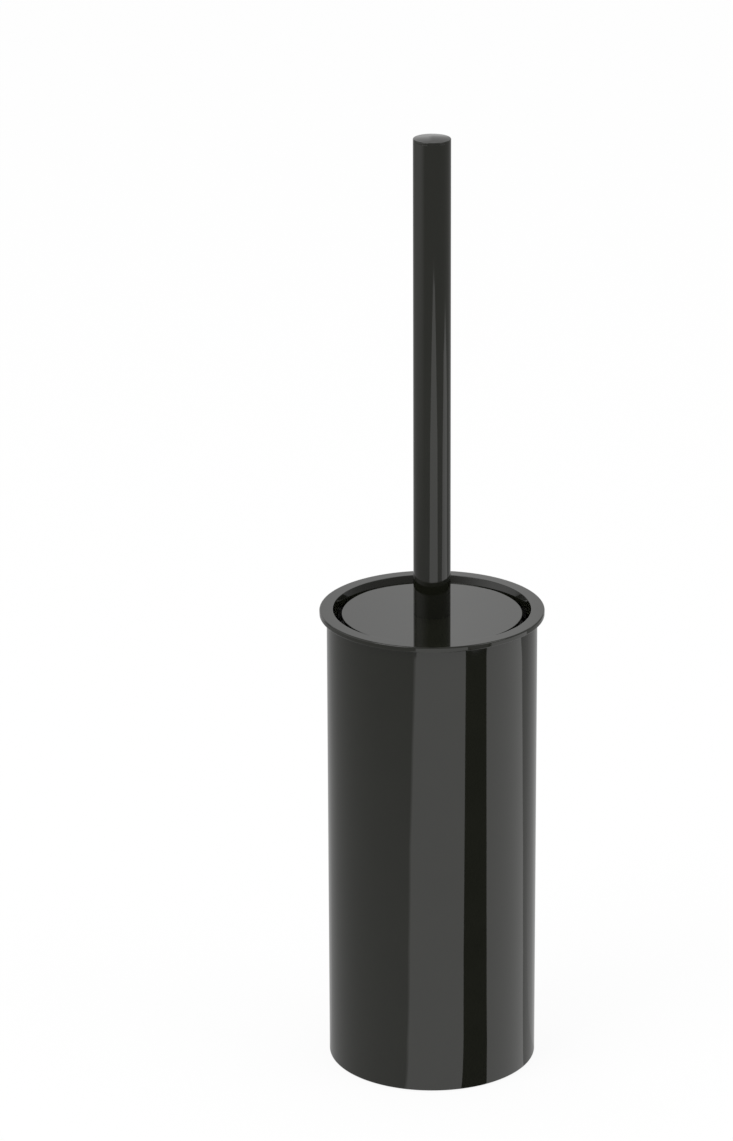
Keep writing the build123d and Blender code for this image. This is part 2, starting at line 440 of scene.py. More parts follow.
def turned_mesh(name: str, corners: Sequence[Corner], steps: int) -> bpy.types.Mesh:
    """Turns an outline about Z.

    Args:
        name: the mesh's name.
        corners: the outline's corners.
        steps: how many steps the full turn has.
    Returns:
        a closed mesh in metres, smooth but for its sharp edges.
    """
    shape = bmesh.new()
    rings: list[list[bmesh.types.BMVert]] = []
    for point in outline(corners):
        if point.x < TINY:
            rings.append([shape.verts.new((0, 0, point.y * MM))] * steps)
            continue
        ring_verts = []
        for step in range(steps):
            angle = math.tau * step / steps
            spot = (point.x * math.cos(angle), point.x * math.sin(angle), point.y)
            ring_verts.append(shape.verts.new(Vector(spot) * MM))
        rings.append(ring_verts)
    for index, here in enumerate(rings):
        other = rings[(index + 1) % len(rings)]
        for step in range(steps):
            after = (step + 1) % steps
            loop = dict.fromkeys((here[step], here[after], other[after], other[step]))
            if len(loop) > 2:
                shape.faces.new(loop)
    bmesh.ops.recalc_face_normals(shape, faces=shape.faces)
    mesh = bpy.data.meshes.new(name)
    shape.to_mesh(mesh)
    shape.free()
    mesh.shade_smooth()
    mesh.set_sharp_from_angle(angle=SHARP_ANGLE)
    return mesh


# Sub-assemblies, in millimetres

@dataclass
class SubAssembly:
    """Pieces that ride on one body, and the finishes that they take."""

    finishes: Mapping[Slot, bpy.types.Material]
    body: Body

    def build(self) -> None:
        """Builds the pieces in order."""
        raise NotImplementedError

    def put(self, mesh: bpy.types.Mesh, slot: Slot, *nodes: str) -> bpy.types.Object:
        """Puts a mesh into the set in place of CAD nodes.

        Args:
            mesh: the piece's mesh, in the part's frame.
            slot: the slot of its finish.
            nodes: the CAD nodes that it stands for.
        Returns:
            the piece.
        """
        mesh.materials.clear()
        mesh.materials.append(self.finishes[slot])
        piece = bpy.data.objects.new(mesh.name, mesh)
        link(piece)
        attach(piece, self.body.value)
        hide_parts(*nodes)
        LOG.info("%s stands for %s on %s", piece.name, ", ".join(nodes), self.body.value)
        return piece

    def turn(self, name: str, node: str, slot: Slot, steps: int, *corners: Corner) -> bpy.types.Object:
        """Turns an outline and puts it into the set in place of a CAD node.

        Args:
            name: the piece's name.
            node: the CAD node that it stands for.
            slot: the slot of its finish.
            steps: how many steps the full turn has.
            corners: the outline's corners.
        Returns:
            the piece.
        """
        return self.put(turned_mesh(name, corners, steps), slot, node)


@dataclass
class Holder(SubAssembly):
    """The standing holder: lacquered tube and ring, a pressed base and its foot."""

    body: Body = Body.HOLDER
    tube_r: float = 42.5
    wall: float = 1.5
    tube_bottom: float = 0.5
    tube_edge: float = 0.4
    ring_r: float = 45.4
    ring_mouth_r: float = 40.0
    ring_bore_r: float = 38.7
    ring_lead: float = 3.6
    ring_top: float = 194.7
    ring_thickness: float = 2.3
    ring_edge: float = 0.5
    ring_inner_edge: float = 0.2
    spigot_depth: float = 8.0
    fit_gap: float = 0.05
    pan_bottom: float = 1.5
    pan_sheet: float = 1.5
    pan_flange: float = 8.0
    pan_bend: float = 0.8
    foot_inset: float = 3.0
    foot_edge: float = 0.3

    @property
    def bore_r(self) -> float:
        """Radius of the tube's bore."""
        return self.tube_r - self.wall

    @property
    def seat(self) -> float:
        """Height of the tube's top, on which the ring sits."""
        return self.ring_top - self.ring_thickness

    def build(self) -> None:
        """Builds the holder's four pieces."""
        self._tube()
        self._ring()
        self._pan()
        self._foot()

    def _tube(self) -> None:
        """The body, rounded where it nearly meets the floor."""
        self.turn(
            "holder_tube", "outer_tube", Slot.LACQUER, FINE_STEPS,
            Corner(self.bore_r, self.tube_bottom),
            Corner(self.tube_r, self.tube_bottom, self.tube_edge),
            Corner(self.tube_r, self.seat),
            Corner(self.bore_r, self.seat),
        )

    def _ring(self) -> None:
        """The flat ring on the body's edge: a spigot below, a sloped mouth above."""
        spigot_r = self.bore_r - self.fit_gap
        spigot_bottom = self.seat - self.spigot_depth
        self.turn(
            "holder_ring", "rim_ring", Slot.LACQUER, FINE_STEPS,
            Corner(self.ring_bore_r, spigot_bottom),
            Corner(spigot_r, spigot_bottom),
            Corner(spigot_r, self.seat),
            Corner(self.ring_r, self.seat, self.ring_edge),
            Corner(self.ring_r, self.ring_top, self.ring_edge),
            Corner(self.ring_mouth_r, self.ring_top, self.ring_inner_edge),
            Corner(self.ring_bore_r, self.ring_top - self.ring_lead, self.ring_inner_edge),
        )

    def _pan(self) -> None:
        """The pressed base with its turned-up edge."""
        pan_r = self.bore_r - self.fit_gap
        inner_r = pan_r - self.pan_sheet
        floor = self.pan_bottom + self.pan_sheet
        flange_top = self.pan_bottom + self.pan_flange
        self.turn(
            "holder_base_pan", "base_pan", Slot.ZINC, SMALL_STEPS,
            Corner(0, self.pan_bottom),
            Corner(pan_r, self.pan_bottom, self.pan_bend + self.pan_sheet),
            Corner(pan_r, flange_top),
            Corner(inner_r, flange_top),
            Corner(inner_r, floor, self.pan_bend),
            Corner(0, floor),
        )

    def _foot(self) -> None:
        """The non-slip foot under the pan."""
        foot_r = self.bore_r - self.foot_inset
        foot = self.turn(
            "holder_foot", "foot_pad", Slot.FOAM, SMALL_STEPS,
            Corner(0, 0),
            Corner(foot_r, 0, self.foot_edge),
            Corner(foot_r, self.pan_bottom),
            Corner(0, self.pan_bottom),
        )


@dataclass
class Liner(SubAssembly):
    """The cup that lifts out for washing."""

    body: Body = Body.LINER
    bore_r: float = 34.45
    wall: float = 1.6
    bottom: float = 3.0
    foot_height: float = 2.0
    foot_width: float = 3.0
    floor: float = 2.0
    floor_round: float = 2.5
    top: float = 189.8
    flange_r: float = 38.2
    flange: float = 1.8
    flange_drop: float = 4.0
    edge: float = 0.4

    def build(self) -> None:
        """Builds the cup."""
        wall_r = self.bore_r + self.wall
        foot_bore_r = wall_r - self.foot_width
        floor_under = self.bottom + self.foot_height
        flange_top = self.top - self.flange_drop
        flange_under = flange_top - self.flange
        self.turn(
            "liner_cup", "liner", Slot.LINER, FINE_STEPS,
            Corner(0, floor_under),
            Corner(foot_bore_r, floor_under),
            Corner(foot_bore_r, self.bottom, self.edge),
            Corner(wall_r, self.bottom, self.edge),
            Corner(wall_r, flange_under, self.edge),
            Corner(self.flange_r, flange_under, self.edge),
            Corner(self.flange_r, flange_top, self.edge),
            Corner(wall_r, flange_top, self.edge),
            Corner(wall_r, self.top, self.edge),
            Corner(self.bore_r, self.top, self.edge),
            Corner(self.bore_r, floor_under + self.floor, self.floor_round),
            Corner(0, floor_under + self.floor),
        )


@dataclass
class Tufts:
    """Where the brush head's tufts grow, and how far each reaches."""

    backing_r: float = 10.55
    backing_edge: float = 0.4
    core_r: float = 9.05
    core_bottom: float = 31.5
    backing_top: float = 98.2
    tip_backing: float = 2.5
    outer_r: float = 33.35
    dome_bottom: float = 11.2
    dome_rise: float = 28.8
    side_rows: int = 14
    side_pitch: float = 4.6
    first_row: float = 0.75
    side_per_row: int = 20
    tilt_top: float = 8.0
    tilt_bottom: float = -34.0
    tip_circles: int = 3
    tip_per_circle: int = 6
    tip_first_r: float = 2.6
    tip_last_r: float = 9.05
    tip_lean: float = 42.0

    @property
    def backing_bottom(self) -> float:
        """Height of the backing's lower face, from which the tip tufts grow."""
        return self.core_bottom - self.tip_backing

    def reach(self, root_r: float, root_z: float, slope: float) -> float:
        """How long a tuft is from its root to the brush's trimmed form.

        Args:
            root_r: radius of the root, in millimetres.
            root_z: height of the root.
            slope: the tuft's angle above level, in radians.
        Returns:
            the length in millimetres.
        """
        out = math.cos(slope)
        up = math.sin(slope)
        centre = self.dome_bottom + self.dome_rise
        to_side = (self.outer_r - root_r) / out if out > TINY else math.inf
        if root_z + to_side * up >= centre:
            return to_side
        height = root_z - centre
        a = (out / self.outer_r) ** 2 + (up / self.dome_rise) ** 2
        b = root_r * out / self.outer_r**2 + height * up / self.dome_rise**2
        c = (root_r / self.outer_r) ** 2 + (height / self.dome_rise) ** 2 - 1
        return (math.sqrt(b * b - a * c) - b) / a

    def roots(self) -> list[tuple[float, float, float, float]]:
        """Lists the roots of all tufts, first round the side and then at the tip.

        Returns:
            radius, height, slope and turn of each, in millimetres and radians.
        """
        found = []
        step = math.tau / self.side_per_row
        for row in range(self.side_rows):
            share = row / (self.side_rows - 1)
            slope = math.radians(self.tilt_bottom + (self.tilt_top - self.tilt_bottom) * share)
            height = self.core_bottom + (row + self.first_row) * self.side_pitch
            for place in range(self.side_per_row):
                found.append((self.backing_r, height, slope, step * (place + row % 2 / 2)))
        for circle in range(self.tip_circles):
            share = circle / (self.tip_circles - 1)
            root_r = self.tip_first_r + (self.tip_last_r - self.tip_first_r) * share
            slope = math.radians(self.tip_lean * (circle + 1) / self.tip_circles - 90)
            count = self.tip_per_circle * (circle + 1)
            for place in range(count):
                found.append((root_r, self.backing_bottom, slope, math.tau * place / count))
        return found

    def seed_mesh(self) -> bpy.types.Mesh:
        """Builds the backing with a loose point at each root, which carries the tuft's lean and reach.

        Returns:
            the mesh from which the filaments grow.
        """
        corners = [
            Corner(0, self.backing_bottom),
            Corner(self.backing_r, self.backing_bottom, self.backing_edge),
            Corner(self.backing_r, self.backing_top, self.backing_edge),
            Corner(self.core_r, self.backing_top),
            Corner(self.core_r, self.core_bottom),
            Corner(0, self.core_bottom),
        ]
        mesh = turned_mesh("bristle_seeds", corners, SMALL_STEPS)
        first = len(mesh.vertices)
        roots = self.roots()
        mesh.vertices.add(len(roots))
        for name, kind in ROOT_VALUES.items():
            mesh.attributes.new(name, kind, "POINT")
        is_root, lean, reach = (mesh.attributes[name].data for name in ROOT_VALUES)
        for number, (root_r, root_z, slope, turn) in enumerate(roots, start=first):
            east = math.cos(turn)
            north = math.sin(turn)
            mesh.vertices[number].co = Vector((root_r * east, root_r * north, root_z)) * MM
            is_root[number].value = True
            lean[number].vector = (math.cos(slope) * east, math.cos(slope) * north, math.sin(slope))
            reach[number].value = self.reach(root_r, root_z, slope) * MM
        return mesh


@dataclass
class FilamentTree:
    """The node tree that grows filaments from the root points."""

    finish: bpy.types.Material
    per_tuft: int = 32
    tuft_mm: float = 0.85
    fan: float = 0.11
    stray: float = 0.05
    trim: float = 0.035
    root_mm: float = 0.2
    root_depth_mm: float = 0.9
    tip_mm: float = 0.15
    outer_mm: float = 33.55
    sides: int = 3
    segments: int = 2
    seed: int = 7
    stray_seed: int = 21
    trim_seed: int = 33

    @property
    def inputs(self) -> dict[str, Any]:
        """The tree's named inputs, with their values in metres."""
        return {
            "Per Tuft": self.per_tuft,
            "Tuft Radius": self.tuft_mm * MM,
            "Fan": self.fan,
            "Stray": self.stray,
            "Shortest": 1 - self.trim,
            "Root Radius": self.root_mm * MM,
            "Root Depth": self.root_depth_mm * MM,
            "Tip Radius": self.tip_mm * MM,
            "Outer Radius": self.outer_mm * MM,
            "Seed": self.seed,
            "Material": self.finish,
        }

    def grow(self, seeds: bpy.types.Mesh) -> bpy.types.Mesh:
        """Runs the tree on the seed mesh.

        Args:
            seeds: the backing with its root points.
        Returns:
            a plain mesh of the backing and every filament.
        """
        tree = self._tree()
        carrier = bpy.data.objects.new("bristle_carrier", seeds)
        link(carrier)
        modifier = carrier.modifiers.new("filaments", "NODES")
        modifier.node_group = tree
        for item in tree.interface.items_tree:
            if item.item_type == "SOCKET" and item.name in self.inputs:
                modifier[item.identifier] = self.inputs[item.name]
        graph = bpy.context.evaluated_depsgraph_get()
        mesh = bpy.data.meshes.new_from_object(carrier.evaluated_get(graph), depsgraph=graph)
        for name in ROOT_VALUES:
            mesh.attributes.remove(mesh.attributes[name])
        carrier.modifiers.remove(modifier)
        bpy.data.objects.remove(carrier)
        bpy.data.meshes.remove(seeds)
        mesh.name = "brush_bristles"
        return mesh

    def _tree(self) -> bpy.types.NodeTree:
        """Builds the tree with its named inputs.

        Returns:
            a geometry node tree.
        """
        tree = bpy.data.node_groups.new("grow_filaments", "GeometryNodeTree")
        for way in ("INPUT", "OUTPUT"):
            tree.interface.new_socket("Geometry", in_out=way, socket_type="NodeSocketGeometry")
        for name, value in self.inputs.items():
            tree.interface.new_socket(name, in_out="INPUT", socket_type=SOCKET_KINDS[type(value)])
        add = partial(add_node, tree)
        given = add("NodeGroupInput").outputs
        root, lean, reach = (
            add("GeometryNodeInputNamedAttribute", {"Name": name}, data_type=kind)
            for name, kind in ROOT_VALUES.items()
        )
        spot, wild = (
            add("FunctionNodeRandomValue", {
                "Min": (-1.0, -1.0, -1.0), "Max": (1.0, 1.0, 1.0), "Seed": seed,
            }, data_type="FLOAT_VECTOR")
            for seed in (given["Seed"], self.stray_seed)
        )

        # Roots apart from the backing, each repeated for its filaments
        seeds = given["Geometry"]
        parts = add("GeometryNodeSeparateGeometry", {"Geometry": seeds, "Selection": root}).outputs
        crowd = add("GeometryNodeDuplicateElements", {
            "Geometry": parts["Selection"], "Amount": given["Per Tuft"],
        }, domain="POINT")

        # Each filament's place in its tuft, square to the tuft's lean, its root sunk into the backing
        part_along = add("ShaderNodeVectorMath", {0: spot, 1: lean}, operation="DOT_PRODUCT")
        along = add("ShaderNodeVectorMath", {0: lean, "Scale": part_along}, operation="SCALE")
        across = add("ShaderNodeVectorMath", {0: spot, 1: along}, operation="SUBTRACT")
        shift = add("ShaderNodeVectorMath", {0: across, "Scale": given["Tuft Radius"]}, operation="SCALE")
        sunk = add("ShaderNodeVectorMath", {0: lean, "Scale": given["Root Depth"]}, operation="SCALE")
        start = add("ShaderNodeVectorMath", {0: shift, 1: sunk}, operation="SUBTRACT")
        placed = add("GeometryNodeSetPosition", {"Geometry": crowd, "Offset": start})

        # Its direction: outer filaments fan out, and all stray a little
        fanned = add("ShaderNodeVectorMath", {0: across, "Scale": given["Fan"]}, operation="SCALE")
        strayed = add("ShaderNodeVectorMath", {0: wild, "Scale": given["Stray"]}, operation="SCALE")
        bent = add("ShaderNodeVectorMath", {0: fanned, 1: strayed}, operation="ADD")
        aim = add("ShaderNodeVectorMath", {0: lean, 1: bent}, operation="ADD")
        turn = add("FunctionNodeAlignRotationToVector", {"Vector": aim}, axis="Z")

        # Its length, a little uneven as trimmed bristles are
        cut = add("FunctionNodeRandomValue", {
            "Min": given["Shortest"], "Max": 1.0, "Seed": self.trim_seed,
        }, data_type="FLOAT")
        length = add("ShaderNodeMath", {0: reach, 1: cut, 2: given["Root Depth"]}, operation="MULTIPLY_ADD")
        stretch = add("ShaderNodeCombineXYZ", {"X": 1.0, "Y": 1.0, "Z": length})

        # One three-sided filament of unit length on every place
        strand = add("GeometryNodeMeshCone", {
            "Vertices": self.sides,
            "Side Segments": self.segments,
            "Radius Top": given["Tip Radius"],
            "Radius Bottom": given["Root Radius"],
            "Depth": 1.0,
        }, fill_type="NGON")
        strands = add("GeometryNodeInstanceOnPoints", {
            "Points": placed, "Instance": strand, "Rotation": turn, "Scale": stretch,
        })
        joined = add("GeometryNodeJoinGeometry", {"Geometry": parts["Inverted"]})
        tree.links.new(strands.outputs["Instances"], joined.inputs["Geometry"])
        real = add("GeometryNodeRealizeInstances", {"Geometry": joined})

        # Trimmed round to the brush's outer radius
        spots = add("GeometryNodeInputPosition")
        level = add("ShaderNodeVectorMath", {0: spots, 1: (1.0, 1.0, 0.0)}, operation="MULTIPLY")
        distance = add("ShaderNodeVectorMath", {0: level}, operation="LENGTH")
        over = add("ShaderNodeMath", {0: given["Outer Radius"], 1: distance}, operation="DIVIDE")
        share = add("ShaderNodeMath", {0: over, 1: 1.0}, operation="MINIMUM")
        pull = add("ShaderNodeCombineXYZ", {"X": share, "Y": share, "Z": 1.0})
        inside = add("ShaderNodeVectorMath", {0: spots, 1: pull}, operation="MULTIPLY")
        trimmed = add("GeometryNodeSetPosition", {"Geometry": real, "Position": inside})
        dressed = add("GeometryNodeSetMaterial", {"Geometry": trimmed, "Material": given["Material"]})
        add("NodeGroupOutput", {"Geometry": dressed})
        return tree


@dataclass
class Brush(SubAssembly):
    """The brush: lid, handle and cap above, stem and brush head below."""

    body: Body = Body.BRUSH
    lid_r: float = 36.45
    lid_top: float = 192.8
    lid_thickness: float = 3.0
    lid_taper: float = 0.8
    lid_edge: float = 0.2
    handle_r: float = 7.5
    handle_wall: float = 1.0
    handle_edge: float = 0.12
    overall_top: float = 390.0
    cap_head: float = 0.9
    cap_crown: float = 0.35
    cap_edge: float = 0.3
    cap_spigot: float = 12.0
    cap_spigot_edge: float = 0.3
    dome_inset: float = 0.2
    dome_steps: int = 10
    stud_pass_r: float = 3.2
    stud_hole_r: float = 3.05
    fit_gap: float = 0.05
    washer_r: float = 10.0
    washer_thickness: float = 1.5
    washer_edge: float = 0.2
    stem_r: float = 5.0
    stem_spigot_r: float = 4.0
    stem_spigot: float = 16.0
    stem_hole: float = 17.0
    stem_edge: float = 0.5
    stem_shoulder: float = 0.3
    core_r: float = 9.0
    core_flange_r: float = 10.55
    core_flange_edge: float = 0.2
    core_neck_r: float = 7.0
    core_neck_edge: float = 0.6
    core_bottom: float = 31.5
    core_flange_z: float = 98.2
    core_top: float = 105.2
    core_hole_spare: float = 2.0
    kept_nodes: tuple[str, ...] = ("handle_insert", "stud")

    @property
    def lid_bottom(self) -> float:
        """Height of the lid's underside."""
        return self.lid_top - self.lid_thickness

    @property
    def stem_top(self) -> float:
        """Height of the stem's top, under the washer."""
        return self.lid_bottom - self.washer_thickness

    @property
    def cap_seat(self) -> float:
        """Height of the handle tube's top, on which the cap sits."""
        return self.overall_top - self.cap_crown - self.cap_head

    def build(self) -> None:
        """Builds every piece of the brush and dresses the hidden CAD ones."""
        self._lid()
        self._handle()
        self._cap()
        self._washer()
        self._stem()
        self._core()
        self._bristles()
        for node in self.kept_nodes:
            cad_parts[node].data.materials.clear()
            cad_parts[node].data.materials.append(self.finishes[Slot.ZINC])
            LOG.info("%s keeps its CAD shape", node)

    def _lid(self) -> None:
        """The disc that closes the liner."""
        self.turn(
            "brush_lid", "lid", Slot.LACQUER, FINE_STEPS,
            Corner(self.stud_pass_r, self.lid_bottom),
            Corner(self.lid_r - self.lid_taper, self.lid_bottom, self.lid_edge),
            Corner(self.lid_r, self.lid_top, self.lid_edge),
            Corner(self.stud_pass_r, self.lid_top),
        )

    def _handle(self) -> None:
        """The handle tube, with the finest break on its edges."""
        bore_r = self.handle_r - self.handle_wall
        self.turn(
            "brush_handle", "handle_tube", Slot.LACQUER, FINE_STEPS,
            Corner(bore_r, self.lid_top),
            Corner(self.handle_r, self.lid_top, self.handle_edge),
            Corner(self.handle_r, self.cap_seat, self.handle_edge),
            Corner(bore_r, self.cap_seat),
        )

    def _cap(self) -> None:
        """The low dome that closes the handle."""
        spigot_r = self.handle_r - self.handle_wall - self.fit_gap
        spigot_bottom = self.cap_seat - self.cap_spigot
        rim_r = self.handle_r - self.cap_edge
        dome_r = (rim_r**2 + self.cap_crown**2) / (2 * self.cap_crown)
        dome = []
        for step in range(self.dome_steps):
            r = (rim_r - self.dome_inset) * (1 - step / self.dome_steps)
            dome.append(Corner(r, self.overall_top - dome_r + math.sqrt(dome_r**2 - r**2)))
        self.turn(
            "brush_handle_cap", "handle_cap", Slot.LACQUER, FINE_STEPS,
            Corner(0, spigot_bottom),
            Corner(spigot_r, spigot_bottom, self.cap_spigot_edge),
            Corner(spigot_r, self.cap_seat),
            Corner(self.handle_r, self.cap_seat, self.handle_edge),
            Corner(self.handle_r, self.cap_seat + self.cap_head, self.cap_edge),
            *dome,
            Corner(0, self.overall_top),
        )

    def _washer(self) -> None:
        """The washer under the lid."""
        self.turn(
            "brush_lid_washer", "lid_washer", Slot.WASHER, SMALL_STEPS,
            Corner(self.stud_pass_r, self.stem_top),
            Corner(self.washer_r, self.stem_top, self.washer_edge),
            Corner(self.washer_r, self.lid_bottom, self.washer_edge),
            Corner(self.stud_pass_r, self.lid_bottom),
        )

    def _stem(self) -> None:
        """The rod, with the stud's hole above and the core's spigot below."""
        spigot_bottom = self.core_top - self.stem_spigot
        hole_bottom = self.stem_top - self.stem_hole
        self.turn(
            "brush_stem", "stem", Slot.STAINLESS, SMALL_STEPS,
            Corner(0, spigot_bottom),
            Corner(self.stem_spigot_r, spigot_bottom, self.stem_edge),
            Corner(self.stem_spigot_r, self.core_top),
            Corner(self.stem_r, self.core_top, self.stem_shoulder),
            Corner(self.stem_r, self.stem_top, self.stem_edge),
            Corner(self.stud_hole_r, self.stem_top),
            Corner(self.stud_hole_r, hole_bottom),
            Corner(0, hole_bottom),
        )

    def _core(self) -> None:
        """The moulded core with its sloped shoulder."""
        hole_r = self.stem_spigot_r + self.fit_gap
        hole_bottom = self.core_top - self.stem_spigot - self.core_hole_spare
        self.turn(
            "brush_core_post", "brush_core", Slot.CORE, SMALL_STEPS,
            Corner(0, self.core_bottom),
            Corner(self.core_r, self.core_bottom),
            Corner(self.core_r, self.core_flange_z),
            Corner(self.core_flange_r, self.core_flange_z, self.core_flange_edge),
            Corner(self.core_neck_r, self.core_top, self.core_neck_edge),
            Corner(hole_r, self.core_top),
            Corner(hole_r, hole_bottom),
            Corner(0, hole_bottom),
        )

    def _bristles(self) -> None:
        """The tufts of nylon filament on their backing."""
        mesh = FilamentTree(self.finishes[Slot.BRISTLE]).grow(Tufts().seed_mesh())
        self.put(mesh, Slot.BRISTLE, "side_bristles", "tip_bristles")


# Studio, in metres

@dataclass(frozen=True)
class Lamp:
    """A square soft lamp that faces the set: its place, its side and its power in watts."""

    name: str
    at: tuple[float, float, float]
    size: float
    watts: float


@dataclass(frozen=True)
class Spot:
    """A point of a studio card: metres to the right, towards the camera and up, and its tone."""

    right: float
    ahead: float
    up: float
    tone: float


@dataclass(frozen=True)
class Card:
    """A studio card that spans two rails of equally many points."""

    name: str
    first: Sequence[Spot]
    second: Sequence[Spot]


def line(tone: float, *points: tuple[float, float]) -> list[Spot]:
    """A rail of a panel on the floor.

    Args:
        tone: the card's tone along it.
        points: millimetres to the right and towards the camera.
    Returns:
        its points.
    """
    return [Spot(right * MM, ahead * MM, PANEL_UP, tone) for right, ahead in points]


def arc(distance: float, up: float, *stops: tuple[float, float]) -> list[Spot]:
    """A rail round the middle of the set.

    Args:
        distance: its radius.
        up: its height.
        stops: degrees from the camera towards the right, each with the card's tone there.
    Returns:
        its points, ARC_TURN apart or closer.
    """
    rail = []
    for (turn, tone), (next_turn, next_tone) in zip(stops, stops[1:]):
        steps = math.ceil((next_turn - turn) / ARC_TURN)
        for step in range(steps + 1):
            share = step / steps
            angle = math.radians(turn + (next_turn - turn) * share)
            shade = tone + (next_tone - tone) * share
            rail.append(Spot(distance * math.sin(angle), distance * math.cos(angle), up, shade))
    return rail


def span(name: str, rails: Sequence[Sequence[Spot]]) -> list[Card]:
    """One card between each rail and the next."""
    return [Card(name, first, second) for first, second in zip(rails, rails[1:])]


def ring(name: str, *circles: tuple[float, float, float]) -> list[Card]:
    """Cards all round the set, between circles of a radius, a height and a tone."""
    return span(name, [arc(radius, up, (-180, tone), (180, tone)) for radius, up, tone in circles])


@dataclass
class Studio:
    """White floor, soft lamps, the photograph's camera, and cards that only reflections see."""

    camera_at: tuple[float, float, float] = (0.0, -1.88055, 0.88461)
    camera_pitch: float = 19.7128
    focal_px: float = 4972.11
    middle_px: float = 432.0
    image_px: tuple[int, int] = (733, 1141)
    sensor_mm: float = 36.0
    key: Lamp = Lamp("key_softbox", (-1.3, -1.1, 1.9), 1.3, 15.0)
    fill: Lamp = Lamp("fill_softbox", (1.5, -0.6, 1.5), 1.1, 6.0)
    aim: tuple[float, float, float] = (0.0, 0.0, 0.2)
    floor_size: float = 24.0
    floor_colour: str = "#fafafa"
    floor_shadow: float = 0.09
    sky: float = 0.86
    white: float = 1.0
    pale: float = 0.8
    dim: float = 0.23
    ceiling: float = 0.4
    black: float = 0.05
    near_grey: float = 0.47
    far_grey: float = 0.33
    greys: tuple[tuple[float, float], ...] = ((0.3, 0.43), (0.55, 0.37), (1.1, 0.33))
    screen_r: float = 3.6
    screen_heights: tuple[float, float] = (0.001, 2.3)
    back_r: float = 3.5
    ceiling_radii: tuple[float, float] = (0.02, 3.55)
    ceiling_up: float = 2.6
    dim_r: float = 2.6
    dim_heights: tuple[float, float] = (0.02, 1.35)
    lid_card_back: float = 0.5
    lid_card_heights: tuple[float, float] = (0.345, 0.411)

    def build(self) -> None:
        """Builds the whole stage."""
        bpy.context.scene.view_settings.view_transform = "Standard"
        self._camera()
        self._world()
        self._floor()
        self._lamp(self.key)
        self._lamp(self.fill)
        tone = self._card_material()
        for card in self._floor_cards() + self._back_lights() + self._screens():
            self._card(card, tone)

    def _camera(self) -> None:
        """Sets the photograph's camera, with the shift that its framing needs."""
        width, height = self.image_px
        data = bpy.data.cameras.new("photo_camera")
        data.sensor_width = self.sensor_mm
        data.lens = self.focal_px / height * self.sensor_mm
        data.shift_x = (width / 2 - self.middle_px) / height
        camera = bpy.data.objects.new("photo_camera", data)
        camera.location = self.camera_at
        camera.rotation_euler = (math.radians(90 - self.camera_pitch), 0, 0)
        link(camera)
        bpy.context.scene.camera = camera

    def _world(self) -> None:
        """White where it is seen or mirrored, and a plain soft light elsewhere."""
        world = bpy.data.worlds.new("white_studio")
        tree = bare_tree(world)
        shown = add_node(tree, "ShaderNodeBackground", {"Color": WHITE, "Strength": self.white})
        light = add_node(tree, "ShaderNodeBackground", {"Color": WHITE, "Strength": self.sky})
        mixed = add_node(tree, "ShaderNodeMixShader", {"Fac": self._seen(tree), 1: light, 2: shown})
        add_node(tree, "ShaderNodeOutputWorld", {"Surface": mixed})
        bpy.context.scene.world = world

    def _seen(self, tree: bpy.types.NodeTree) -> bpy.types.Node:
        """Adds a factor that is 1 for camera, glossy and transmission rays, and 0 for others.

        Args:
            tree: the node tree that gets it.
        Returns:
            the node that gives it.
        """
        path = add_node(tree, "ShaderNodeLightPath").outputs
        factor = path["Is Camera Ray"]
        for kind in ("Is Glossy Ray", "Is Transmission Ray"):
            factor = add_node(tree, "ShaderNodeMath", {0: factor, 1: path[kind]}, operation="MAXIMUM")
        return factor

    def _floor(self) -> None:
        """The floor: white paper that keeps a faint shadow."""
        half = self.floor_size / 2
        corners = [(-half, -half, 0), (half, -half, 0), (half, half, 0), (-half, half, 0)]
        mesh = bpy.data.meshes.new("paper_floor")
        mesh.from_pydata(corners, [], [(0, 1, 2, 3)])
        material = bpy.data.materials.new("white_paper")
        tree = bare_tree(material)
        paper = add_node(tree, "ShaderNodeBsdfDiffuse", {"Color": linear(self.floor_colour)})
        glow = add_node(tree, "ShaderNodeEmission", {"Color": WHITE, "Strength": self.white})
        shown = add_node(tree, "ShaderNodeMixShader", {"Fac": self.floor_shadow, 1: glow, 2: paper})
        surface = add_node(tree, "ShaderNodeMixShader", {"Fac": self._seen(tree), 1: paper, 2: shown})
        add_node(tree, "ShaderNodeOutputMaterial", {"Surface": surface})
        material.cycles.emission_sampling = "NONE"
        mesh.materials.append(material)
        floor = bpy.data.objects.new("paper_floor", mesh)
        link(floor)

    def _lamp(self, lamp: Lamp) -> None:
        """Hangs a soft lamp.

        Args:
            lamp: its place, size and power.
        """
        data = bpy.data.lights.new(lamp.name, "AREA")
        data.size = lamp.size
        data.energy = lamp.watts
        shape = bpy.data.objects.new(lamp.name, data)
        shape.location = lamp.at
        shape.rotation_euler = (Vector(self.aim) - Vector(lamp.at)).to_track_quat("-Z", "Y").to_euler()
        link(shape)

    def _greys(self, near: float, far: float) -> list[tuple[float, float]]:
        """Lists distances from near to far, each with the grey sheet's tone there."""
        return [(near, self.near_grey), *self.greys, (far, self.far_grey)]

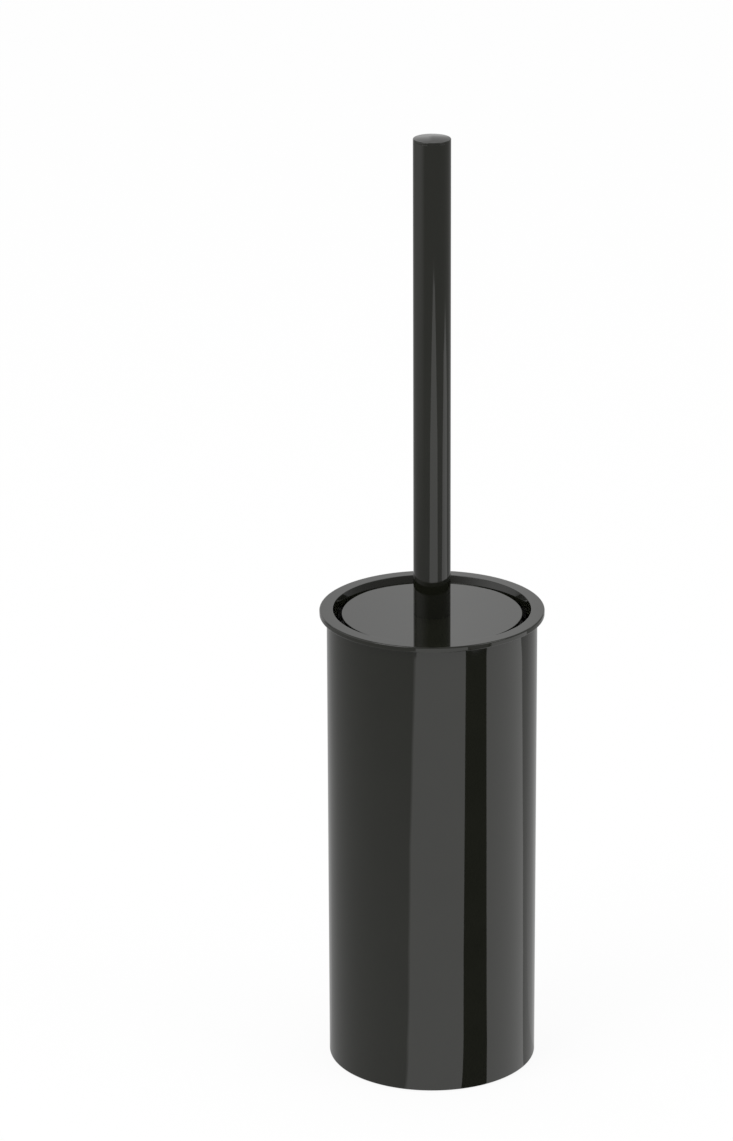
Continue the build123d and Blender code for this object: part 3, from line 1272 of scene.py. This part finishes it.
    def _floor_cards(self) -> list[Card]:
        """A grey sheet on the floor, with a light to the left, two white panels and a black flag on it.

        Returns:
            the cards, low to high.
        """
        white = self.white
        greys = self._greys(BODY_EDGE, SHEET_END)
        sheet = ring("grey_sheet", *((out, SHEET_UP, tone) for out, tone in greys))
        glow = ((-128, 0.3), (-100, 0.58), (-78, 0.7), (-62, 0.62), (-44, 0.33))
        dull = [(turn, 0.36) for turn, _ in glow]
        left_stops = ((0.6, dull), (1.5, glow), (SHEET_END, glow))
        left = span("left_light", [arc(out, PANEL_UP, *stops) for out, stops in left_stops])
        front_edge = ((-10, 41), (-30, 85), (-66, 171), (-106, 276), (-135, 397), (-151, 521))
        front_soft = ((-12, 41), (-34, 83), (-75, 167), (-120, 270), (-155, 391), (-180, 511))
        flag_left = ((12, 41), (41, 80), (94, 155), (162, 245), (238, 343), (315, 438))
        flag_right = ((22, 36), (62, 55), (144, 97), (244, 150), (352, 210), (459, 271))
        side_edge = ((37, 20), (61, 4), (139, -46), (237, -102), (350, -152), (466, -194))
        side_end = ((1003, 170), (1019, -78))
        front = Card(
            "front_panel",
            line(white, *front_edge, (-160, 800), (-35, 1003), (150, 1150)),
            line(white, *flag_left, (450, 688), (415, 912), (328, 1089)),
        )
        fade = Card("front_panel_edge", line(0.42, *front_soft), line(white, *front_edge))
        flag = Card(
            "black_flag",
            line(self.black, *flag_left, (325, 452)),
            line(self.black, *flag_right, (480, 282)),
        )
        side = Card(
            "side_panel",
            line(white, *flag_right, (600, 265), (751, 303), (885, 255), (948, 255), side_end[0]),
            line(white, *side_edge, (620, -155), (870, -198), (908, -175), (974, -135), side_end[1]),
        )
        side_fade = Card(
            "side_panel_edge", line(white, *side_end), line(self.far_grey, (1086, 148), (1098, -90)),
        )
        return [*sheet, *left, front, fade, flag, side, side_fade]

    def _back_lights(self) -> list[Card]:
        """A light that fans out on the floor behind the set, with a bright strip in its middle.

        Returns:
            the cards of the fan from the left round to the right, then the strip.
        """
        fan = ((-52, 1.0), (-30, 1.18), (-12, 1.27), (12, 1.27), (30, 1.18), (52, 1.0))
        greys = self._greys(0.0, BACK_END)
        rails = []
        for turn, share in fan:
            foot = math.copysign(BODY_EDGE, turn)
            east = math.sin(math.radians(turn))
            north = math.cos(math.radians(turn))
            rails.append([
                Spot(foot + out * east, -out * north, BACK_UP, share * tone) for out, tone in greys
            ])
        stops = ((166, 0.5), (171, 0.95), (189, 0.95), (194, 0.5))
        strip = [arc(out, PANEL_UP, *stops) for out in (0.05, BACK_END)]
        return span("back_light", rails) + span("back_strip", strip)

    def _screens(self) -> list[Card]:
        """Pale screens round the set and above it, and a dim one nearer by.

        The back screen is in two halves, which the handle's cap mirrors. The small card behind the handle is
        for the lid and the ring.

        Returns:
            the cards.
        """
        around = ring("pale_screen", *((self.screen_r, up, self.pale) for up in self.screen_heights))
        halves = (
            (0.002, 0.94, 0.96), (0.66, 0.95, 0.96), (0.86, 0.98, 0.88), (1.045, 0.79, 1.02),
            (1.21, 0.62, 0.88), (1.37, 0.58, 0.8), (1.52, 0.53, 0.7), (1.67, 0.55, 0.66),
            (1.81, 0.49, 0.62), (1.95, 0.6, 0.5), (2.4, 0.6, 0.5),
        )
        back = span("back_screen", [
            arc(self.back_r, up, (110, right), (179.9, right), (180.7, left), (250, left))
            for up, right, left in halves
        ])
        above = ring("ceiling", *((out, self.ceiling_up, self.ceiling) for out in self.ceiling_radii))
        dims = (
            (-135, 0.25), (-120, 0.33), (-110, 0.65), (-95, 0.88), (-75, 0.98), (-60, 0.83), (-40, 0.5),
            (-18, self.dim), (20, self.dim), (60, 0.26), (100, 0.29), (112, 0.33), (150, 0.26),
        )
        near = span("dim_screen", [arc(self.dim_r, up, *dims) for up in self.dim_heights])
        tones = (
            (-0.075, 0.66), (-0.046, 0.757), (-0.011, 0.79), (0.011, 0.845), (0.046, 0.785), (0.075, 0.64),
        )
        lid = span("lid_card", [
            [Spot(right, -self.lid_card_back, up, tone) for right, tone in tones]
            for up in self.lid_card_heights
        ])
        return [*around, *back, *above, *near, *lid]

    def _card_material(self) -> bpy.types.Material:
        """A plain card whose tone is on its mesh.

        Returns:
            the material that all cards share.
        """
        material = bpy.data.materials.new("studio_card")
        tree = bare_tree(material)
        tone = add_node(tree, "ShaderNodeAttribute", attribute_name="tone")
        glow = add_node(tree, "ShaderNodeEmission", {"Strength": tone.outputs["Fac"]})
        add_node(tree, "ShaderNodeOutputMaterial", {"Surface": glow})
        material.cycles.emission_sampling = "NONE"
        return material

    def _card(self, card: Card, material: bpy.types.Material) -> None:
        """Adds a card that only reflections see.

        Args:
            card: its name and rails.
            material: the material of the cards.
        """
        spots = [*card.first, *card.second]
        count = len(card.first)
        faces = [(i, i + 1, count + i + 1, count + i) for i in range(count - 1)]
        mesh = bpy.data.meshes.new(card.name)
        mesh.from_pydata([(spot.right, -spot.ahead, spot.up) for spot in spots], [], faces)
        mesh.attributes.new("tone", "FLOAT", "POINT").data.foreach_set("value", [spot.tone for spot in spots])
        mesh.materials.append(material)
        shape = bpy.data.objects.new(card.name, mesh)
        for rays in ("camera", "diffuse", "transmission", "volume_scatter", "shadow"):
            setattr(shape, f"visible_{rays}", False)
        link(shape)


def main() -> None:
    """Builds the set and its studio."""
    logging.basicConfig(level=logging.INFO, format="%(name)s: %(message)s")
    finishes = {slot: finish.make() for slot, finish in SET_FINISHES.items()}
    for sub_assembly in (Holder, Liner, Brush):
        sub_assembly(finishes).build()
    Studio().build()


if __name__ == "__main__":
    main()
